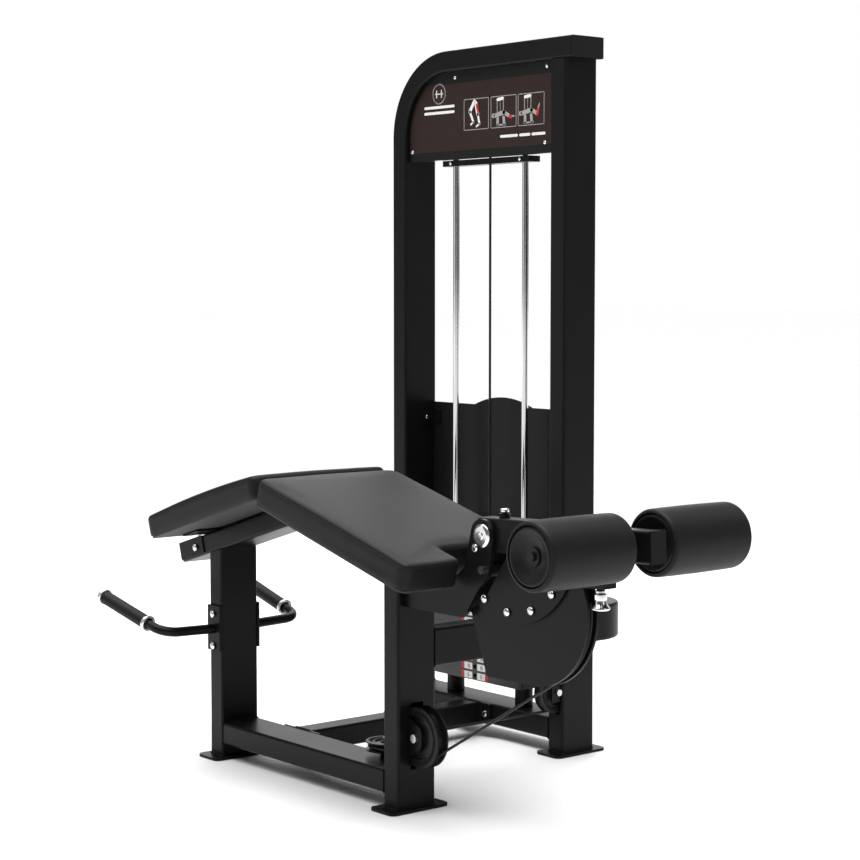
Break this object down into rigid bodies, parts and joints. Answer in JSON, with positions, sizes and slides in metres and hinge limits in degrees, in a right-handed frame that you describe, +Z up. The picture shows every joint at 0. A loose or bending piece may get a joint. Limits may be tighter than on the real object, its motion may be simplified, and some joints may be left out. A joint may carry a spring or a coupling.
{
  "type": "lying leg curl machine",
  "caption": "Prone leg curl: sloping chest and thigh pads, a pivoting roller lever with a cable cam, and a side weight-stack tower joined by two link rails.",
  "frame": {"origin": "on the floor under the centre of the knee leg, at the middle of its foot plate", "axes": "+X from the head end to the feet, +Y from the bench to the weight-stack tower, +Z up"},
  "size_m": [1.6131, 0.9525, 1.6525],
  "materials": {
    "frame_black": "satin black powder coat",
    "stack_black": "smooth black paint",
    "sign_print": "dark print on black sheet",
    "pad_vinyl": "black grained upholstery",
    "board": "plywood",
    "roller_foam": "skinned black foam",
    "roller_core": "moulded black",
    "chrome": "polished",
    "steel": "plated",
    "aluminium": "turned",
    "pulley_black": "moulded nylon",
    "plastic_black": "moulded black",
    "rubber_black": "moulded",
    "cable_black": "nylon-coated wire rope"
  },
  "bodies": {
    "frame": {"chest_leg": "frame_black", "knee_leg": "frame_black", "bench_rail": "frame_black", "link_rail": "frame_black", "foot_plates": "frame_black", "chest_pad_beam": "frame_black", "thigh_pad_beam": "frame_black", "pad_cross_plates": "frame_black", "chest_pad": "pad_vinyl", "thigh_pad": "pad_vinyl", "pad_boards": "board", "tower_base_rail": "frame_black", "tower_tube": "frame_black", "right_upright": "frame_black", "tower_end_cap": "plastic_black", "upper_link_tube": "frame_black", "sign_panel": "sign_print", "rear_cover": "frame_black", "cover_brackets": "frame_black", "panel_screws": "chrome", "guide_rods": "chrome", "rod_top_bar": "frame_black", "rubber_stops": "rubber_black", "resting_plates": "stack_black", "pivot_cheeks": "frame_black", "pivot_bearings": "steel", "pulley_brackets": "frame_black", "pulley_axles": "steel", "cable_run": "cable_black", "cable_lead": "cable_black", "cable_drop": "cable_black", "handle_tubes": "frame_black", "hand_grips": "rubber_black", "grip_collars": "aluminium", "frame_bolts": "chrome"},
    "lever": {"pivot_shaft": "steel", "shaft_caps": "chrome", "lever_arm": "frame_black", "cam_plates": "frame_black", "cam_core": "frame_black", "cam_discs": "frame_black", "cam_bolts": "chrome", "cam_cable": "cable_black", "pin_housings": "frame_black"},
    "stack": {"lifted_plates": "stack_black", "stack_stem": "steel"},
    "selector": {"selector_pin": "chrome"},
    "start_pin": {"start_knob": "chrome"},
    "length_pin": {"pull_pin": "chrome"},
    "carriage": {"carriage_tube": "frame_black", "roller_axle": "steel"},
    "roller_near": {"near_roller": "roller_foam", "near_roller_core": "roller_core"},
    "roller_far": {"far_roller": "roller_foam", "far_roller_core": "roller_core"},
    "pulley_knee": {"knee_pulley": "pulley_black"},
    "pulley_turn": {"turn_pulley": "pulley_black"},
    "pulley_foot": {"foot_pulley": "pulley_black"},
    "pulley_corner": {"corner_pulley": "pulley_black"},
    "pulley_stack": {"stack_pulley": "pulley_black"}
  },
  "joints": [
    {"name": "curl", "type": "hinge", "parent": "frame", "child": "lever", "pos_m": [0.272, 0, 0.6], "axis": [0, -1, 0], "range_deg": [0, 100], "deforming": ["cable_lead"]},
    {"name": "stack_lift", "type": "slide", "parent": "frame", "child": "stack", "axis": [0, 0, 1], "range_m": [0, 0.4538], "deforming": ["cable_drop"]},
    {"name": "selector_slide", "type": "slide", "parent": "stack", "child": "selector", "axis": [0, -1, 0], "range_m": [0, 0.06]},
    {"name": "start_pin_pull", "type": "slide", "parent": "lever", "child": "start_pin", "axis": [-0.0396, 0, 0.9992], "range_m": [0, 0.012], "stiffness_N_per_m": 500, "springref_m": -0.01},
    {"name": "length_pin_pull", "type": "slide", "parent": "lever", "child": "length_pin", "axis": [0.0396, 0, -0.9992], "range_m": [0, 0.02], "stiffness_N_per_m": 600, "springref_m": -0.015},
    {"name": "carriage_slide", "type": "slide", "parent": "lever", "child": "carriage", "axis": [0.9992, 0, 0.0396], "range_m": [-0.03, 0.06]},
    {"name": "near_roller_spin", "type": "hinge", "parent": "carriage", "child": "roller_near", "pos_m": [0.65, -0.149, 0.61498], "axis": [0, 1, 0], "continuous": true},
    {"name": "far_roller_spin", "type": "hinge", "parent": "carriage", "child": "roller_far", "pos_m": [0.65, 0.149, 0.61498], "axis": [0, 1, 0], "continuous": true},
    {"name": "knee_pulley_spin", "type": "hinge", "parent": "frame", "child": "pulley_knee", "pos_m": [0.046, 0, 0.157], "axis": [0, 1, 0], "continuous": true},
    {"name": "turn_pulley_spin", "type": "hinge", "parent": "frame", "child": "pulley_turn", "pos_m": [-0.1235, 0.04, 0.106], "axis": [0, 0, 1], "continuous": true},
    {"name": "foot_pulley_spin", "type": "hinge", "parent": "frame", "child": "pulley_foot", "pos_m": [-0.1635, 0.56, 0.15], "axis": [1, 0, 0], "continuous": true},
    {"name": "corner_pulley_spin", "type": "hinge", "parent": "frame", "child": "pulley_corner", "pos_m": [-0.2035, 0.618, 1.585], "axis": [0, 1, 0], "continuous": true},
    {"name": "stack_pulley_spin", "type": "hinge", "parent": "frame", "child": "pulley_stack", "pos_m": [-0.412, 0.618, 1.585], "axis": [0, 1, 0], "continuous": true}
  ],
  "couplings": [
    {"joint": "stack_lift", "follows": "curl", "m_per_rad": 0.26},
    {"joint": "knee_pulley_spin", "follows": "curl", "ratio": -5.098},
    {"joint": "turn_pulley_spin", "follows": "curl", "ratio": 6.5},
    {"joint": "foot_pulley_spin", "follows": "curl", "ratio": -5.909},
    {"joint": "corner_pulley_spin", "follows": "curl", "ratio": 6.5},
    {"joint": "stack_pulley_spin", "follows": "curl", "ratio": 6.5}
  ]
}
